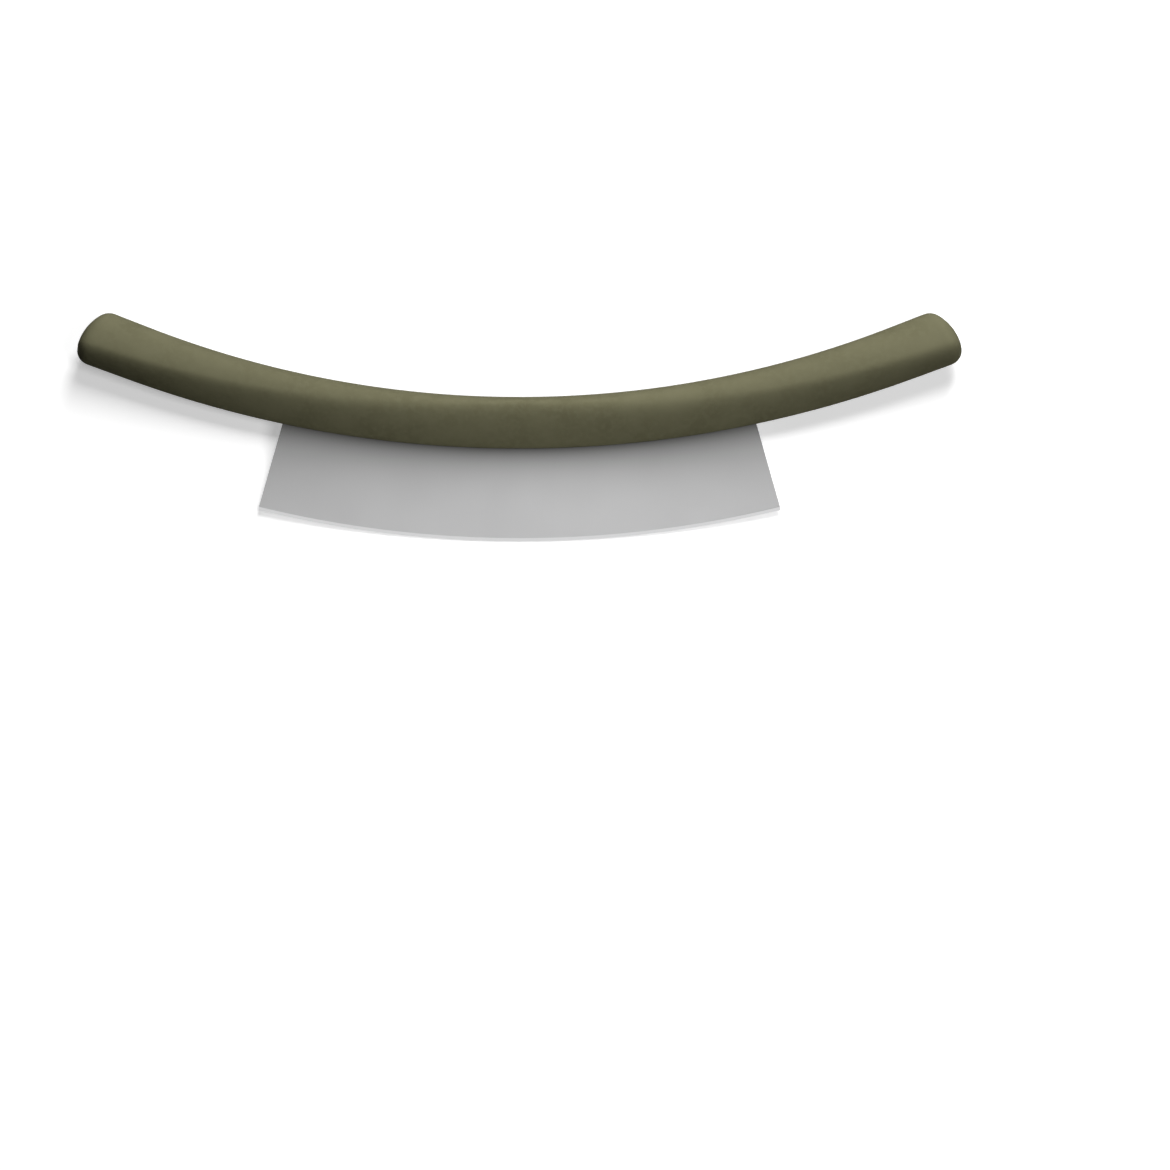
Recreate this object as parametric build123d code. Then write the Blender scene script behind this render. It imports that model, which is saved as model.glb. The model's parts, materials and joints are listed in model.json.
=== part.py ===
from build123d import *
import os
from math import cos, radians, sin, sqrt, tan

# A rocking herb knife with one long bar handle, held at both ends.
# It is modelled in the plane of its blade: X runs along the knife, Y from the cutting edge to the handle,
# Z across the sheet. The handle's centreline is lowest at the origin. At the end it is laid on its side.
# Lengths are in millimetres, angles in degrees. Shares have no unit.

# Handle, measured outside the skin
bend_radius = 465.0             # centreline of the bend
bend_angle = 20.6               # from the middle to where the tips run straight
tip_length = 26.0               # straight, up to the crown of the end face
middle_height = 22.2            # seen square to the blade
tip_height = 24.8
middle_width = 21.0             # across the blade
tip_width = 21.0
ridge_middle_share = 0.7        # widest line above the centreline, in half heights
ridge_tip_share = -0.33
ridge_drift = 1.3               # how late along the handle that line drifts, as a power
bend_strips = 20

# Fullness of the section where its quarters begin and end: 0.55 is an ellipse, 1 a square corner
crest_fullness_share = 0.8
ridge_fullness_middle_share = 0.3
ridge_fullness_tip_share = 0.52
foot_fullness_middle_share = 0.12
foot_fullness_tip_share = 0.58
fullness_drift = 2.0            # how late along the handle the fullness changes, as a power

# End faces of the handle
crown_margin = 5.1              # how far the crown's sphere reaches past the tip's upper side
crown_drop = 4.0                # crown's centre below the centreline
end_round = 5.5

# Core inside the handle, a bar with six sides, and the skin moulded over it
core_top = 8.0                  # above the centreline
core_shoulder = 3.0             # its widest line above the centreline
core_bottom = 7.5               # below the centreline
core_top_width = 8.0
core_width = 13.0
core_bottom_width = 4.4
end_skin = 8.0                  # between the core's end and the crown of the end face
slot_clearance = 0.05

# Blade
sheet_thickness = 2.0
edge_radius = 475.0
edge_chord = 225.0
side_flare = 15.9               # of the straight sides, from square to the edge
exposed_depth = 40.0            # from the handle's underside to the edge, at the middle
tang_rise = 5.0                 # top of the sheet above the handle's centreline
corner_round = 0.8
grind_gap = 2.0                 # from the handle's underside to the start of the flat grind
ground_thickness = 1.2          # at the end of the flat grind, behind the edge
bevel_angle = 20.0              # of each side of the edge
edge_land = 0.1                 # thickness left at the very edge

# Pins through the tang and into both half cores, evenly along the handle's centreline
pin_count = 8
pin_end_distance = 18.0         # from the outermost pins to the crown of the end face
pin_diameter = 3.0
pin_length = 8.0
pin_clearance = 0.05

# Pockets that core out the half cores, between the pins
pockets_per_bay = 2
boss_length = 12.0              # solid stretch at each pin
rib_thickness = 3.0
pocket_height = 5.0
pocket_depth = 3.0              # from the joint between the half cores
tang_clearance = 0.05

# How far every cutting tool runs past what it cuts
overrun = 5.0

# Search for the tilt at which the knife rests on its side
steepest_tilt = 45.0
tilt_halvings = 25

# Worked out from the sizes above
bend_length = bend_radius * radians(bend_angle)
half_length = bend_length + tip_length
edge_depth = middle_height / 2 + exposed_depth
crown_radius = tip_height / 2 + crown_drop + crown_margin
pin_pitch = 2 * (half_length - pin_end_distance) / (pin_count - 1)
slot_width = sheet_thickness + 2 * slot_clearance


def between(middle, tip, along):
    """A size that goes from its value at the middle to its value at the tip."""
    return middle + (tip - middle) * along


def centreline_plane(place):
    """Plane across the handle at a distance along its centreline: x is up in the blade's plane, y is across."""
    turn = radians(bend_angle) * min(abs(place) / bend_length, 1)
    straight = max(abs(place) - bend_length, 0)
    side = -1 if place < 0 else 1
    x = bend_radius * sin(turn) + straight * cos(turn)
    y = bend_radius * (1 - cos(turn)) + straight * sin(turn)
    return Plane(
        origin=(side * x, y, 0),
        x_dir=(-side * sin(turn), cos(turn), 0),
        z_dir=(cos(turn), side * sin(turn), 0),
    )


def rounded_quarter(start, corner, end, start_share, end_share):
    """Quarter of a section, its two ends pulled towards the corner where their tangents cross."""
    start_pull = start + (corner - start) * start_share
    end_pull = end + (corner - end) * end_share
    return Bezier(start, start_pull, end_pull, end)


def handle_section(place):
    """Drop-shaped section of the handle, with a flat foot where the blade's slot opens."""
    along = abs(place) / half_length
    half_height = between(middle_height, tip_height, along**2) / 2
    half_width = between(middle_width, tip_width, along**2) / 2
    ridge = half_height * between(ridge_middle_share, ridge_tip_share, along**ridge_drift)
    lips = [Vector(-half_height, -slot_width / 2), Vector(-half_height, slot_width / 2)]
    crest = Vector(half_height, 0)
    ridge_share = between(ridge_fullness_middle_share, ridge_fullness_tip_share, along**fullness_drift)
    foot_share = between(foot_fullness_middle_share, foot_fullness_tip_share, along**fullness_drift)
    outline = [Line(lips)]
    for width, lip in zip((-half_width, half_width), lips):
        widest = Vector(ridge, width)
        high_corner = Vector(half_height, width)
        low_corner = Vector(-half_height, width)
        outline.append(rounded_quarter(crest, high_corner, widest, crest_fullness_share, ridge_share))
        outline.append(rounded_quarter(lip, low_corner, widest, foot_share, ridge_share))
    return centreline_plane(place) * make_face(outline)


def section_places():
    """Where the handle's sections stand: evenly along the bend, and past both ends."""
    step = 2 * bend_length / bend_strips
    bend = [step * index - bend_length for index in range(bend_strips + 1)]
    reach = half_length + overrun
    return [-reach, *bend, reach]


def end_waste(side):
    """What is cut away beyond the crowned end face."""
    crown_plane = centreline_plane(side * (half_length - crown_radius))
    crown_centre = crown_plane.origin - crown_plane.x_dir * crown_drop
    block_size = 2 * (crown_radius + middle_height)
    block = Box(block_size, block_size, block_size, align=(Align.CENTER, Align.CENTER, Align.MIN))
    facing = Plane(origin=crown_plane.origin, x_dir=crown_plane.x_dir, z_dir=crown_plane.z_dir * side)
    return facing * block - Pos(crown_centre) * Sphere(crown_radius)


def handle_body():
    """The whole handle: straight strips between sections along the centreline, with crowned, rounded ends."""
    body = loft([handle_section(place) for place in section_places()], ruled=True)
    for side in (-1, 1):
        body -= end_waste(side)
    rims = body.faces().filter_by(GeomType.SPHERE).edges()
    return fillet(rims, end_round)


def blade_outline(clearance):
    """Stamped outline: straight flaring sides between the arc of the edge and the arc of the tang."""
    corner_x = edge_chord / 2
    corner_rise = edge_radius - sqrt(edge_radius**2 - corner_x**2)
    tang_radius = bend_radius - tang_rise - clearance
    tang_corner = bend_radius - sqrt(tang_radius**2 - corner_x**2)
    low = -edge_depth - overrun
    high = tang_corner + overrun
    corner_y = corner_rise - edge_depth
    low_x = corner_x + (corner_y - low) * tan(radians(side_flare)) + clearance
    high_x = corner_x - (high - corner_y) * tan(radians(side_flare)) + clearance
    sides = make_face(Polyline((-low_x, low), (low_x, low), (high_x, high), (-high_x, high), close=True))
    edge_disc = Pos(0, edge_radius - edge_depth) * Circle(edge_radius)
    tang_disc = Pos(0, bend_radius) * Circle(tang_radius)
    return sides & edge_disc - tang_disc


def sheet(outline, thickness):
    """An outline as a sheet, centred on the blade's plane."""
    return extrude(outline, amount=thickness / 2, both=True)


def grind_waste():
    """Wedge above one side of the blade that the flat grind takes off."""
    grind_start = -middle_height / 2 - grind_gap
    surface = sheet_thickness / 2
    slope = (sheet_thickness - ground_thickness) / 2 / (grind_start + edge_depth)
    low = -edge_depth - overrun
    low_surface = surface - slope * (grind_start - low)
    top = surface + overrun
    wedge = Polyline((grind_start, surface), (low, low_surface), (low, top), (grind_start, top), close=True)
    return extrude(Plane.YZ * make_face(wedge), amount=edge_chord, both=True)


def bevel_waste():
    """Ring above one side of the blade that leaves the bevel along the edge."""
    land = edge_land / 2
    reach = sheet_thickness / tan(radians(bevel_angle))
    top = land + sheet_thickness
    outside = edge_radius + overrun
    profile = Polyline(
        (edge_radius, land), (edge_radius - reach, top), (outside, top), (outside, land), close=True
    )
    ring_plane = Plane(origin=(0, edge_radius - edge_depth, 0), x_dir=(0, -1, 0), z_dir=(1, 0, 0))
    return revolve(ring_plane * make_face(profile), Axis((0, edge_radius - edge_depth, 0), (0, 0, 1)))


def pin_place(index):
    """Where a pin stands, on the handle's centreline."""
    place = (index - (pin_count - 1) / 2) * pin_pitch
    return Pos(centreline_plane(place).origin)


def pin(index):
    """Plain pin across the joint between the half cores."""
    return pin_place(index) * Cylinder(pin_diameter / 2, pin_length)


def pin_holes():
    """Holes for all the pins, right through the tang and blind in the core."""
    hole = Cylinder(pin_diameter / 2 + pin_clearance, pin_length)
    return [pin_place(index) * hole for index in range(pin_count)]


def blade():
    """Ground and bevelled sheet with pin holes in its tang."""
    outline = blade_outline(0)
    edge_corners = outline.vertices().sort_by(Axis.Y)[:2]
    body = sheet(fillet(edge_corners, corner_round), sheet_thickness)
    for waste in (grind_waste(), bevel_waste()):
        body -= [waste, mirror(waste, Plane.XY)]
    return body - pin_holes()


def core_blank():
    """Both half cores as one bar of constant section: revolved along the bend, straight in the tips."""
    half_profile = [
        (core_top, 0),
        (core_top, core_top_width / 2),
        (core_shoulder, core_width / 2),
        (-core_bottom, core_bottom_width / 2),
        (-core_bottom, 0),
    ]
    half_section = make_face(Polyline(half_profile, close=True))
    section = half_section + mirror(half_section, Plane.XZ)
    bar = revolve(
        centreline_plane(-bend_length) * section, Axis((0, bend_radius, 0), (0, 0, 1)), 2 * bend_angle
    )
    for side in (-1, 1):
        bar += extrude(centreline_plane(side * bend_length) * section, amount=side * (tip_length - end_skin))
    return bar


def pockets():
    """Pockets on both sides of the joint between the half cores, in pairs between the pins."""
    bay = pin_pitch - boss_length
    length = (bay - rib_thickness * (pockets_per_bay - 1)) / pockets_per_bay
    pocket = Box(length, pocket_height, 2 * pocket_depth)
    shapes = []
    for index in range(pin_count - 1):
        bay_start = (index - (pin_count - 1) / 2) * pin_pitch + boss_length / 2
        for number in range(pockets_per_bay):
            place = bay_start + length / 2 + number * (length + rib_thickness)
            across = centreline_plane(place)
            flat = Plane(origin=across.origin, x_dir=across.z_dir, z_dir=(0, 0, 1))
            shapes.append(flat * pocket)
    return shapes


def core_half(blank, keep):
    """One half core, from the joint in the blade's plane outwards."""
    half = split(blank, Plane.XY, keep=keep)
    half -= sheet(blade_outline(tang_clearance), sheet_thickness + 2 * tang_clearance)
    return half - pin_holes() - pockets()


def grip(blank):
    """Skin moulded over the closed core, with the slot that the blade comes out of."""
    return handle_body() - blank - sheet(blade_outline(slot_clearance), slot_width)


def level(piece, tilt):
    """Lowest point of a piece turned about X."""
    return (Rot(tilt, 0, 0) * piece).bounding_box().min.Z


def resting_tilt(sheet_piece, handle_piece):
    """Turn about X at which the handle's back and the blade's edge touch one flat surface."""
    low, high = 0, steepest_tilt
    for _ in range(tilt_halvings):
        tilt = (low + high) / 2
        if level(handle_piece, tilt) < level(sheet_piece, tilt):
            low = tilt
        else:
            high = tilt
    return low


def laid_down(sheet_piece, handle_piece):
    """Placement of the knife on its side, with the origin under the middle of its outline."""
    turn = Rot(resting_tilt(sheet_piece, handle_piece), 0, 0)
    box = (turn * Compound([*sheet_piece.solids(), *handle_piece.solids()])).bounding_box()
    return Pos(-box.center().X, -box.center().Y, -box.min.Z) * turn


blank = core_blank()
nodes = {
    "blade": blade(),
    "core_front": core_half(blank, Keep.TOP),
    "core_rear": core_half(blank, Keep.BOTTOM),
    "grip": grip(blank),
}
for index in range(pin_count):
    nodes[f"pin_{index + 1}"] = pin(index)

os.makedirs("parts", exist_ok=True)
placement = laid_down(nodes["blade"], nodes["grip"])
for name, piece in nodes.items():
    export_step(placement * piece, f"parts/{name}.step")
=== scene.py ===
import bpy
import bmesh
import json
from math import atan2, cos, pi, radians, sin, sqrt
from mathutils import Matrix, Vector


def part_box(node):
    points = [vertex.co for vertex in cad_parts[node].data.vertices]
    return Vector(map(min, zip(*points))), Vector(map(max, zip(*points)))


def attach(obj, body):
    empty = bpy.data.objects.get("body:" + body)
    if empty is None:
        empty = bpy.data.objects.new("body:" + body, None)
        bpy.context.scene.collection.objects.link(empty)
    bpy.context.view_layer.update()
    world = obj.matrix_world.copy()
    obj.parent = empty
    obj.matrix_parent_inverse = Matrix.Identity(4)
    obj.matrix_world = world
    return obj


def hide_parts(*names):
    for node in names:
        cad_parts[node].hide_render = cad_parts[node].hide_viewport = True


# Lengths are in metres and angles in radians, unless a name or a comment says otherwise.
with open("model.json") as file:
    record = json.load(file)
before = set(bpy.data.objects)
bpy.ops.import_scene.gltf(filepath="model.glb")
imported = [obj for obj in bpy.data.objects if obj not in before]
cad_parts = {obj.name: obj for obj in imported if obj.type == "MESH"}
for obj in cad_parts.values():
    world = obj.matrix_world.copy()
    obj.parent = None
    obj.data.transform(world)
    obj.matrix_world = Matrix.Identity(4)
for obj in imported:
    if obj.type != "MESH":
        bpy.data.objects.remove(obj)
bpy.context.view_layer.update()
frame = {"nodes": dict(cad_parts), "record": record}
MM = 0.001

# Handle, as in the model: sizes seen square to the blade, along the handle's centreline. It is 0.2 mm less
# wide than there, so that this rounder skin doesn't dip below the floor.
BEND_RADIUS = 465 * MM
BEND_ANGLE = radians(20.6)
TIP_LENGTH = 26 * MM
MIDDLE_HEIGHT = 22.2 * MM
TIP_HEIGHT = 24.8 * MM
HANDLE_WIDTH = 20.8 * MM
FOOT_HALF_WIDTH = 1.05 * MM
CROWN_RADIUS = 21.5 * MM
CROWN_DROP = 4 * MM
END_ROUND = 6.5 * MM
BEND_LENGTH = BEND_RADIUS * BEND_ANGLE
HALF_LENGTH = BEND_LENGTH + TIP_LENGTH

# Form of the handle's section. Its widest line, the ridge, lies at a share of the half height, and the
# curves of its outline are pulled towards its corners by the other shares. Pairs go from the middle to the
# tips. The two drifts are powers that set how late along the handle such a change comes.
RIDGE_MIDDLE_SHARE = 0.64
RIDGE_TIP_SHARE = -0.3
RIDGE_DRIFT = 1.2
CREST_SHARE = 0.72
UPPER_RIDGE_SHARES = (0.58, 0.2)
LOWER_RIDGE_SHARES = (0.3, 0.6)
FOOT_SHARE = 0.03
FULLNESS_DRIFT = 6

# Blade, as in the model
EDGE_RADIUS = 475 * MM
BEVEL_HEIGHT = 1.5 * MM

# How finely the skin is divided
QUARTER_STEPS = 14
BEND_STEPS = 140
TIP_STEPS = 2
ROUND_STEPS = 9
CROWN_STEPS = 7

# Where hands rub the skin, and where painted shade darkens its colour: on the arms from this far out,
# fully after this reach, along their widest line
ARM_START = 45 * MM
ARM_REACH = 80 * MM
TOUCH_AND_SHADE_FOCUS = 4


def blade_plane():
    """The blade's own frame: X along the knife, Y up from the edge, Z across the sheet. Its origin is the
    middle of the handle's centreline."""
    axes = {mount["name"]: Vector(mount["axis"]) for mount in frame["record"]["mounts"]}
    across = (axes["blade_front_flat"] - axes["blade_rear_flat"]).normalized()
    along = Vector((1, 0, 0))
    up = across.cross(along)
    turn = Matrix((along, up, across)).transposed()
    low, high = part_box("pin_4")
    pin_centre = (low + high) / 2
    pin_rise = BEND_RADIUS - sqrt(BEND_RADIUS**2 - pin_centre.x**2)
    origin = Vector((0, pin_centre.y, pin_centre.z)) - up * pin_rise
    return Matrix.Translation(origin) @ turn.to_4x4()


PLANE = blade_plane()


def between(start, end, share):
    return start + (end - start) * share


def centreline(place):
    """Point, upward direction and forward direction on the handle's centreline, in the blade's plane."""
    side = -1 if place < 0 else 1
    turn = BEND_ANGLE * min(abs(place) / BEND_LENGTH, 1)
    straight = max(abs(place) - BEND_LENGTH, 0)
    x = BEND_RADIUS * sin(turn) + straight * cos(turn)
    y = BEND_RADIUS * (1 - cos(turn)) + straight * sin(turn)
    up = Vector((-side * sin(turn), cos(turn), 0))
    forward = Vector((cos(turn), side * sin(turn), 0))
    return Vector((side * x, y, 0)), up, forward


def quarter_points(start, corner, end, start_share, end_share):
    """Points of one Bezier curve of the section, pulled towards a corner, without its last point."""
    start_pull = between(start, corner, start_share)
    end_pull = between(end, corner, end_share)
    points = []
    for step in range(QUARTER_STEPS):
        t = step / QUARTER_STEPS
        early = start * (1 - t) ** 3 + start_pull * 3 * t * (1 - t) ** 2
        late = end_pull * 3 * t**2 * (1 - t) + end * t**3
        points.append(early + late)
    return points


def section(place):
    """Outline of the handle as (height, width) points, from one side of its narrow foot over the crest to
    the other side of the foot."""
    along = min(abs(place) / HALF_LENGTH, 1)
    half_height = between(MIDDLE_HEIGHT, TIP_HEIGHT, along**2) / 2
    half_width = HANDLE_WIDTH / 2
    ridge = half_height * between(RIDGE_MIDDLE_SHARE, RIDGE_TIP_SHARE, along**RIDGE_DRIFT)
    upper_share = between(*UPPER_RIDGE_SHARES, along**FULLNESS_DRIFT)
    lower_share = between(*LOWER_RIDGE_SHARES, along**FULLNESS_DRIFT)
    foot = Vector((-half_height, FOOT_HALF_WIDTH))
    widest = Vector((ridge, half_width))
    crest = Vector((half_height, 0))
    low_corner = Vector((-half_height, half_width))
    high_corner = Vector((half_height, half_width))
    half = quarter_points(foot, low_corner, widest, FOOT_SHARE, lower_share)
    half += quarter_points(widest, high_corner, crest, upper_share, CREST_SHARE)
    mirrored = [Vector((point.x, -point.y)) for point in reversed(half)]
    return half + [crest] + mirrored


def body_ring(place):
    """Ring of points round the handle at a distance along its centreline."""
    origin, up, _ = centreline(place)
    return [origin + up * point.x + Vector((0, 0, point.y)) for point in section(place)]


def end_rings(side):
    """Rings over one end of the handle, from its rounded rim towards the crown's pole, and the pole. The
    section halfway along the end stands for all of it."""
    origin, up, forward = centreline(side * (HALF_LENGTH - CROWN_RADIUS))
    ahead = forward * side
    centre = origin - up * CROWN_DROP
    lines = []
    for point in section(side * (HALF_LENGTH - CROWN_RADIUS / 2)):
        arm = Vector((point.x + CROWN_DROP, point.y))
        reach = arm.length
        outward = up * (arm.x / reach) + Vector((0, 0, arm.y / reach))
        inner = reach - END_ROUND
        rim_start = sqrt((CROWN_RADIUS - END_ROUND) ** 2 - inner**2)
        rim_end = atan2(inner, rim_start)
        line = []
        for step in range(ROUND_STEPS + 1):
            angle = between(pi / 2, rim_end, step / ROUND_STEPS)
            out = inner + END_ROUND * sin(angle)
            on = rim_start + END_ROUND * cos(angle)
            line.append(centre + outward * out + ahead * on)
        for step in range(1, CROWN_STEPS):
            angle = rim_end * (1 - step / CROWN_STEPS)
            line.append(centre + (outward * sin(angle) + ahead * cos(angle)) * CROWN_RADIUS)
        lines.append(line)
    rings = [list(ring) for ring in zip(*lines)]
    return rings, centre + ahead * CROWN_RADIUS


def new_piece(name, builder):
    """Smooth-shaded object from a mesh that was built in the blade's plane."""
    mesh = bpy.data.meshes.new(name)
    builder.normal_update()
    builder.to_mesh(mesh)
    builder.free()
    mesh.transform(PLANE)
    for polygon in mesh.polygons:
        polygon.use_smooth = True
    piece = bpy.data.objects.new(name, mesh)
    bpy.context.scene.collection.objects.link(piece)
    return piece


def grip_skin():
    """The handle's skin: smooth rings along the centreline, closed by a rounded crown at each end."""
    tip_end = HALF_LENGTH - CROWN_RADIUS
    bend = [between(-BEND_LENGTH, BEND_LENGTH, step / BEND_STEPS) for step in range(BEND_STEPS + 1)]
    left = [between(-tip_end, -BEND_LENGTH, step / TIP_STEPS) for step in range(TIP_STEPS)]
    right = [between(BEND_LENGTH, tip_end, (step + 1) / TIP_STEPS) for step in range(TIP_STEPS)]
    body_rings = [body_ring(place) for place in left + bend + right]
    left_rings, left_pole = end_rings(-1)
    right_rings, right_pole = end_rings(1)
    builder = bmesh.new()
    rows = []
    for ring in left_rings[::-1] + body_rings + right_rings:
        rows.append([builder.verts.new(point) for point in ring])
    count = len(rows[0])
    for first, second in zip(rows, rows[1:]):
        for index in range(count):
            after = (index + 1) % count
            builder.faces.new((first[index], second[index], second[after], first[after]))
    for row, pole in ((rows[0], left_pole), (rows[-1], right_pole)):
        vertex = builder.verts.new(pole)
        for index in range(count):
            builder.faces.new((row[index], row[(index + 1) % count], vertex))
    bmesh.ops.recalc_face_normals(builder, faces=builder.faces)
    return new_piece("grip_skin", builder)


def add_touch_and_painted_shade(piece):
    """How much hands rub each point of the skin, from 0 to 1: most on the widest parts of both arms. The
    same share darkens the skin's colour there with painted shade.
    """
    to_plane = PLANE.inverted()
    touch_and_shade_shares = []
    for vertex in piece.data.vertices:
        place = to_plane @ vertex.co
        arm = min(max((abs(place.x) - ARM_START) / ARM_REACH, 0), 1)
        widest = min(abs(place.z) / (HANDLE_WIDTH / 2), 1)
        touch_and_shade_shares.append(arm * widest**TOUCH_AND_SHADE_FOCUS)
    piece.data.attributes.new("touch_and_painted_shade", "FLOAT", "POINT").data.foreach_set("value", touch_and_shade_shares)


def paint(piece, material):
    piece.data.materials.clear()
    piece.data.materials.append(material)


# Noise: nearly all of its values lie between these two
NOISE_LOW = 0.3
NOISE_HIGH = 0.7


class NodeTree:
    """Nodes of a material or of the world, with short calls for those used here. What goes into a node is a
    number, a colour, a point or another node's output."""

    def __init__(self, owner):
        owner.use_nodes = True
        self.nodes = owner.node_tree.nodes
        self.links = owner.node_tree.links

    def feed(self, socket, value):
        if isinstance(value, bpy.types.NodeSocket):
            self.links.new(value, socket)
        else:
            socket.default_value = value

    def coordinates(self, kind):
        return self.nodes.new("ShaderNodeTexCoord").outputs[kind]

    def calculate(self, operation, first, second):
        """Sum, product or the like of two values."""
        step = self.nodes.new("ShaderNodeMath")
        step.operation = operation
        self.feed(step.inputs[0], first)
        self.feed(step.inputs[1], second)
        return step.outputs[0]

    def split(self, vector):
        """The X, Y and Z of a vector, by name."""
        splitter = self.nodes.new("ShaderNodeSeparateXYZ")
        self.feed(splitter.inputs[0], vector)
        return splitter.outputs

    def distance(self, place, centre):
        measure = self.nodes.new("ShaderNodeVectorMath")
        measure.operation = "DISTANCE"
        self.feed(measure.inputs[0], place)
        self.feed(measure.inputs[1], centre)
        return measure.outputs["Value"]

    def spread(self, source, low, high, start=NOISE_LOW, end=NOISE_HIGH):
        """A value spread from one range over another, clamped at both ends."""
        spreader = self.nodes.new("ShaderNodeMapRange")
        settings = {"Value": source, "From Min": start, "From Max": end, "To Min": low, "To Max": high}
        for name, value in settings.items():
            self.feed(spreader.inputs[name], value)
        return spreader.outputs["Result"]

    def mix(self, share, first, second):
        """Number between two numbers."""
        mixer = self.nodes.new("ShaderNodeMix")
        self.feed(mixer.inputs["Factor"], share)
        self.feed(mixer.inputs["A"], first)
        self.feed(mixer.inputs["B"], second)
        return mixer.outputs["Result"]

    def blend(self, share, first, second):
        """Colour between two colours."""
        mixer = self.nodes.new("ShaderNodeMix")
        mixer.data_type = "RGBA"
        self.feed(mixer.inputs["Factor"], share)
        for socket, colour in (("A", first), ("B", second)):
            opaque = (*colour, 1) if isinstance(colour, tuple) else colour
            self.feed(mixer.inputs[socket], opaque)
        return mixer.outputs["Result"]

    def seen_directly(self):
        """1 for camera, glossy and transmission rays, 0 for light that bounces on."""
        ray = self.nodes.new("ShaderNodeLightPath").outputs
        seen = self.calculate("MAXIMUM", ray["Is Camera Ray"], ray["Is Glossy Ray"])
        return self.calculate("MAXIMUM", seen, ray["Is Transmission Ray"])


class Look(NodeTree):
    """A material with one Principled shader, placed by the object's own coordinates."""

    def __init__(self, name):
        self.material = bpy.data.materials.new(name)
        super().__init__(self.material)
        self.shader = self.nodes["Principled BSDF"].inputs
        self.place = self.coordinates("Object")

    def set(self, socket, value):
        self.feed(self.shader[socket], value)

    def noise(self, size, detail=2, stretch=(1, 1, 1)):
        """Noise from 0 to 1 whose features are about this size, longer where it is stretched."""
        mapping = self.nodes.new("ShaderNodeMapping")
        mapping.inputs["Scale"].default_value = [1 / (size * factor) for factor in stretch]
        self.feed(mapping.inputs["Vector"], self.place)
        texture = self.nodes.new("ShaderNodeTexNoise")
        settings = {"Vector": mapping.outputs["Vector"], "Scale": 1, "Detail": detail}
        for name, value in settings.items():
            self.feed(texture.inputs[name], value)
        return texture.outputs["Fac"]

    def attribute(self, name):
        reader = self.nodes.new("ShaderNodeAttribute")
        reader.attribute_name = name
        return reader.outputs["Fac"]

    def bump(self, height, depth, strength=1.0):
        """Relief of this depth from a height of 0 to 1."""
        bumper = self.nodes.new("ShaderNodeBump")
        settings = {"Height": height, "Distance": depth, "Strength": strength}
        for name, value in settings.items():
            self.feed(bumper.inputs[name], value)
        self.set("Normal", bumper.outputs["Normal"])


# Skin of the handle
OLIVE_LIGHT = (0.188, 0.181, 0.108)
OLIVE_DARK = (0.156, 0.15, 0.087)
OLIVE_PAINTED_SHADE = (0.154, 0.149, 0.088)
OLIVE_IOR = 1.45
OLIVE_MIRROR_LEVEL = 0.06
MOTTLE_SIZE = 14 * MM
SPECK_SIZE = 2.4 * MM
SPECK_START = 0.45
SPECK_END = 0.65
SPECK_MOST = 0.7
PAINTED_SHADE_MOST = 0.5
SKIN_PATCH_SIZE = 9 * MM
SKIN_SMOOTHEST = 0.74
SKIN_ROUGHEST = 0.86
POLISH_MOST = 0.1
GRAIN_SIZE = 0.45 * MM
GRAIN_DEPTH = 0.015 * MM
DENT_SIZE = 11 * MM
DENT_DEPTH = 0.2 * MM


def grip_olive():
    """Matte soft-touch skin: faint mottling and specks, fine grain, shallow dents, a little polish where
    hands hold it, and painted shade that darkens the colour there."""
    look = Look("grip_olive")
    look.set("IOR", OLIVE_IOR)
    look.set("Specular IOR Level", OLIVE_MIRROR_LEVEL)
    mottling = look.spread(look.noise(MOTTLE_SIZE, detail=3), 0, 1)
    mottled = look.blend(mottling, OLIVE_DARK, OLIVE_LIGHT)
    specks = look.spread(look.noise(SPECK_SIZE, detail=4), 0, SPECK_MOST, SPECK_START, SPECK_END)
    speckled = look.blend(specks, mottled, OLIVE_LIGHT)
    touch_and_painted_shade = look.attribute("touch_and_painted_shade")
    # Painted shade: the colour darkens on the arms' widest line, toning down the light there
    painted_shade = look.calculate("MULTIPLY", touch_and_painted_shade, PAINTED_SHADE_MOST)
    look.set("Base Color", look.blend(painted_shade, speckled, OLIVE_PAINTED_SHADE))
    patchy = look.spread(look.noise(SKIN_PATCH_SIZE, detail=4), SKIN_SMOOTHEST, SKIN_ROUGHEST)
    polish = look.calculate("MULTIPLY", touch_and_painted_shade, POLISH_MOST)
    look.set("Roughness", look.calculate("SUBTRACT", patchy, polish))
    grain = look.noise(GRAIN_SIZE, detail=3)
    dents = look.calculate("MULTIPLY", look.noise(DENT_SIZE), DENT_DEPTH / GRAIN_DEPTH)
    look.bump(look.calculate("ADD", grain, dents), GRAIN_DEPTH)
    return look.material


# Painted shade on the steel along the handle, a dark strip in the steel's colour that stands in for the
# handle's shadow: the share of it that is left one depth below the handle, that depth at the middle of the
# knife, and by how much it grows up to this far to the side
FADE_SHARE = 0.37
SHADE_MIDDLE_DEPTH = 9.4 * MM
SHADE_SIDE_GROWTH = 5.7 * MM
SHADE_SIDE = 95 * MM


def handle_shade(look):
    """Share of the painted shade under the handle: 0 on the steel close under the handle, rising to 1 away
    from it.
    """
    bend_centre = PLANE @ Vector((0, BEND_RADIUS, 0))
    handle_reach = BEND_RADIUS + MIDDLE_HEIGHT / 2
    below_handle = look.calculate("SUBTRACT", look.distance(look.place, bend_centre), handle_reach)
    sideways = look.calculate("DIVIDE", look.split(look.place)["X"], SHADE_SIDE)
    growth = look.calculate("MULTIPLY", look.calculate("POWER", sideways, 2), SHADE_SIDE_GROWTH)
    depth = look.calculate("ADD", growth, SHADE_MIDDLE_DEPTH)
    fading = look.calculate("POWER", FADE_SHARE, look.calculate("DIVIDE", below_handle, depth))
    return look.calculate("SUBTRACT", 1, fading)


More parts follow.
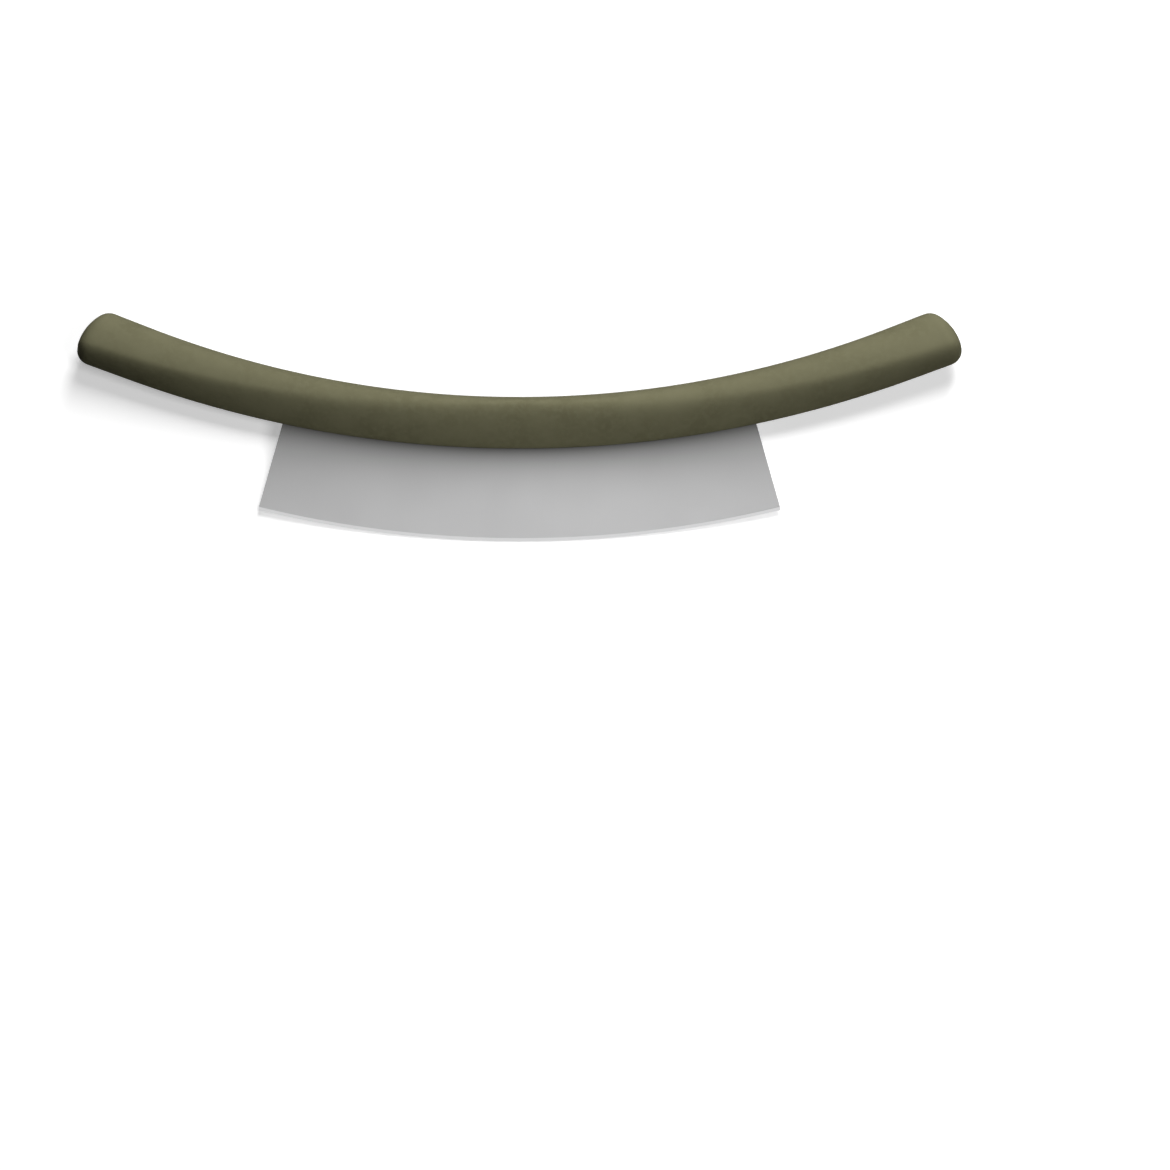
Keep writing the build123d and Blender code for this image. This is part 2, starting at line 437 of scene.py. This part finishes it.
# Steel of the blade
STEEL_LIGHT = (0.716, 0.716, 0.718)
STEEL_DARK = (0.7, 0.7, 0.703)
STEEL_PAINTED_SHADE = (0.085, 0.085, 0.081)
STEEL_BEVEL_HIGHLIGHT = (0.9, 0.9, 0.905)
CLOUD_SIZE = 30 * MM
BEVEL_BLEND = 0.1 * MM
STEEL_SMOOTHEST = 0.48
STEEL_ROUGHEST = 0.52
SMEAR_SIZE = 16 * MM
SMEAR_MOST = 0.01
LINE_SIZE = 0.08 * MM
LINE_STRETCH = 300
LINE_DEPTH = 0.0003 * MM
LINE_STRENGTH = 0.6


def blade_steel():
    """Satin ground steel with very fine grinding lines square to the edge, with painted shade in its colour
    along the handle and a painted highlight in its colour on the bevel."""
    look = Look("blade_steel")
    look.set("Metallic", 1)
    clouds = look.spread(look.noise(CLOUD_SIZE), 0, 1)
    flat = look.blend(clouds, STEEL_DARK, STEEL_LIGHT)
    # Painted shade: the colour darkens towards the handle, standing in for the handle's shadow on the steel
    with_painted_shade = look.blend(handle_shade(look), STEEL_PAINTED_SHADE, flat)
    low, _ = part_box("blade")
    edge = PLANE.inverted() @ Vector((0, low.y, low.z))
    edge_centre = PLANE @ Vector((0, edge.y + EDGE_RADIUS, 0))
    bevel_start = EDGE_RADIUS - BEVEL_HEIGHT
    from_centre = look.distance(look.place, edge_centre)
    # Painted highlight: the bevel's colour is brighter, standing in for the bright line of light it catches
    bevel_highlight = look.spread(from_centre, 0, 1, bevel_start - BEVEL_BLEND, bevel_start)
    look.set("Base Color", look.blend(bevel_highlight, with_painted_shade, STEEL_BEVEL_HIGHLIGHT))
    lines = look.noise(LINE_SIZE, stretch=(1, LINE_STRETCH, LINE_STRETCH))
    smears = look.spread(look.noise(SMEAR_SIZE, detail=4), -SMEAR_MOST, SMEAR_MOST)
    roughness = look.spread(lines, STEEL_SMOOTHEST, STEEL_ROUGHEST)
    look.set("Roughness", look.calculate("ADD", roughness, smears))
    look.bump(lines, LINE_DEPTH, LINE_STRENGTH)
    return look.material


# Steel of the pins
PIN_CLOUD_SIZE = 2 * MM
PIN_PATCH_SIZE = 0.8 * MM
PIN_SMOOTHEST = 0.3
PIN_ROUGHEST = 0.5
PIN_RING_SIZE = 0.3 * MM
PIN_RING_STRETCH = 4
PIN_RING_DEPTH = 0.01 * MM


def pin_steel():
    """Drawn wire: fine rings along the pin and a dull surface."""
    look = Look("pin_steel")
    look.set("Metallic", 1)
    look.set("Base Color", look.blend(look.noise(PIN_CLOUD_SIZE), STEEL_DARK, STEEL_LIGHT))
    look.set("Roughness", look.spread(look.noise(PIN_PATCH_SIZE, detail=3), PIN_SMOOTHEST, PIN_ROUGHEST))
    rings = look.noise(PIN_RING_SIZE, stretch=(PIN_RING_STRETCH, PIN_RING_STRETCH, 1))
    look.bump(rings, PIN_RING_DEPTH)
    return look.material


# Plastic of the half cores
CORE_DARK = (0.035, 0.035, 0.036)
CORE_LIGHT = (0.055, 0.054, 0.052)
FLOW_SIZE = 6 * MM
FLOW_STRETCH = 3
CORE_PATCH_SIZE = 2 * MM
CORE_SMOOTHEST = 0.45
CORE_ROUGHEST = 0.65
CORE_GRAIN_SIZE = 0.5 * MM
CORE_GRAIN_DEPTH = 0.02 * MM


def core_plastic():
    """Black glass-filled moulding with a faint flow pattern."""
    look = Look("core_plastic")
    flow = look.noise(FLOW_SIZE, detail=3, stretch=(FLOW_STRETCH, 1, 1))
    look.set("Base Color", look.blend(flow, CORE_DARK, CORE_LIGHT))
    patches = look.noise(CORE_PATCH_SIZE, detail=3)
    look.set("Roughness", look.spread(patches, CORE_SMOOTHEST, CORE_ROUGHEST))
    look.bump(look.noise(CORE_GRAIN_SIZE), CORE_GRAIN_DEPTH)
    return look.material


# The knife
grip = grip_skin()
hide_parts("grip")
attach(grip, "root")
add_touch_and_painted_shade(grip)
paint(grip, grip_olive())
paint(frame["nodes"]["blade"], blade_steel())
hidden_looks = {"pin": pin_steel(), "core": core_plastic()}
for node_name, node in frame["nodes"].items():
    kind = node_name.split("_")[0]
    if kind in hidden_looks:
        paint(node, hidden_looks[kind])

# Camera: square to the blade, with the handle's middle where the photograph has it
PICTURE_PIXELS = 1170
PIXEL_SIZE = 0.4304 * MM
HANDLE_MIDDLE_COLUMN = 519.5
HANDLE_MIDDLE_ROW = 422.8
LENS_MM = 100
SENSOR_MM = 36


def add_camera():
    view_width = PICTURE_PIXELS * PIXEL_SIZE
    right = (PICTURE_PIXELS / 2 - HANDLE_MIDDLE_COLUMN) * PIXEL_SIZE
    down = (PICTURE_PIXELS / 2 - HANDLE_MIDDLE_ROW) * PIXEL_SIZE
    away = view_width * LENS_MM / SENSOR_MM
    data = bpy.data.cameras.new("camera")
    data.lens = LENS_MM
    data.sensor_width = SENSOR_MM
    camera = bpy.data.objects.new("camera", data)
    camera.matrix_world = PLANE @ Matrix.Translation((right, -down, away))
    bpy.context.scene.collection.objects.link(camera)
    return camera


bpy.context.scene.camera = add_camera()

# Floor: its half size, how white it is to the eye and to bounced light, and its glow. The glow rises to 1
# from the near to the far distance, because the lamps fade there.
FLOOR_HALF = 3.0
FLOOR_SEEN = 0.9
FLOOR_BOUNCE = 0.02
FLOOR_GLOW = 0.4
GLOW_NEAR = 0.22
GLOW_FAR = 0.8


def new_floor():
    corners = [
        (-FLOOR_HALF, -FLOOR_HALF, 0),
        (FLOOR_HALF, -FLOOR_HALF, 0),
        (FLOOR_HALF, FLOOR_HALF, 0),
        (-FLOOR_HALF, FLOOR_HALF, 0),
    ]
    mesh = bpy.data.meshes.new("floor")
    mesh.from_pydata(corners, [], [(0, 1, 2, 3)])
    sheet = bpy.data.objects.new("floor", mesh)
    bpy.context.scene.collection.objects.link(sheet)
    return sheet


def floor_white():
    """White to the eye and in reflections, dark for bounced light, so that it hardly lights the knife."""
    material = bpy.data.materials.new("floor_white")
    tree = NodeTree(material)
    tree.nodes.clear()
    seen = tree.seen_directly()
    diffuse = tree.nodes.new("ShaderNodeBsdfDiffuse")
    colour = tree.blend(seen, (FLOOR_BOUNCE,) * 3, (FLOOR_SEEN,) * 3)
    tree.feed(diffuse.inputs["Color"], colour)
    away = tree.distance(tree.coordinates("Object"), (0, 0, 0))
    level = tree.spread(away, FLOOR_GLOW, 1, GLOW_NEAR, GLOW_FAR)
    glow = tree.nodes.new("ShaderNodeEmission")
    tree.feed(glow.inputs["Strength"], tree.calculate("MULTIPLY", seen, level))
    both = tree.nodes.new("ShaderNodeAddShader")
    tree.feed(both.inputs[0], diffuse.outputs[0])
    tree.feed(both.inputs[1], glow.outputs[0])
    output = tree.nodes.new("ShaderNodeOutputMaterial")
    tree.feed(output.inputs["Surface"], both.outputs[0])
    return material


floor = new_floor()
paint(floor, floor_white())

# World: its level for the camera, for matte surfaces, and for reflections straight above the knife, with
# what is added towards the handle's back, the edge's side and the right
WORLD_SEEN = 1.0
WORLD_DIFFUSE = 0.01
SKY_ABOVE = 0.25
SKY_BACK = 0.2
SKY_EDGE = 0.68
SKY_RIGHT = 0.05


def studio_world():
    """White for the camera, nearly dark for the matte surfaces, and an uneven sky for reflections."""
    world = bpy.data.worlds.new("studio")
    tree = NodeTree(world)
    direction = tree.split(tree.coordinates("Generated"))
    back = tree.calculate("MAXIMUM", direction["Y"], 0)
    edge = tree.calculate("MAXIMUM", tree.calculate("MULTIPLY", direction["Y"], -1), 0)
    sky = tree.calculate("ADD", tree.calculate("MULTIPLY", direction["X"], SKY_RIGHT), SKY_ABOVE)
    sky = tree.calculate("ADD", sky, tree.calculate("MULTIPLY", back, SKY_BACK))
    sky = tree.calculate("ADD", sky, tree.calculate("MULTIPLY", edge, SKY_EDGE))
    sky = tree.calculate("MAXIMUM", sky, 0)
    ray = tree.nodes.new("ShaderNodeLightPath").outputs
    unseen = tree.mix(ray["Is Glossy Ray"], WORLD_DIFFUSE, sky)
    background = tree.nodes["Background"].inputs
    tree.feed(background["Color"], (1, 1, 1, 1))
    tree.feed(background["Strength"], tree.mix(ray["Is Camera Ray"], unseen, WORLD_SEEN))
    return world


bpy.context.scene.world = studio_world()

# Lamps: how many times taller than wide they are
LAMP_TALLNESS = 1.7


def area_lamp(name, azimuth, elevation, away, width, level):
    """Lamp aimed at the handle. Its azimuth goes from +Y towards +X and its elevation up from the blade's
    plane, in degrees. Its level is what a white surface facing it would show."""
    data = bpy.data.lights.new(name, "AREA")
    data.shape = "RECTANGLE"
    data.size = width
    data.size_y = width * LAMP_TALLNESS
    data.energy = level * (pi * away) ** 2
    flat = cos(radians(elevation))
    rise = sin(radians(elevation))
    towards = Vector((sin(radians(azimuth)) * flat, cos(radians(azimuth)) * flat, rise))
    direction = PLANE.to_3x3() @ towards
    lamp = bpy.data.objects.new(name, data)
    lamp.location = PLANE.translation + direction * away
    lamp.rotation_euler = (-direction).to_track_quat("-Z", "Y").to_euler()
    bpy.context.scene.collection.objects.link(lamp)
    return lamp


area_lamp("key", azimuth=15, elevation=42, away=1.0, width=0.4, level=1.02)
fill = area_lamp("fill", azimuth=100, elevation=62, away=1.2, width=0.3, level=0.3)
fill.visible_glossy = False

bpy.context.scene.view_settings.view_transform = "Standard"
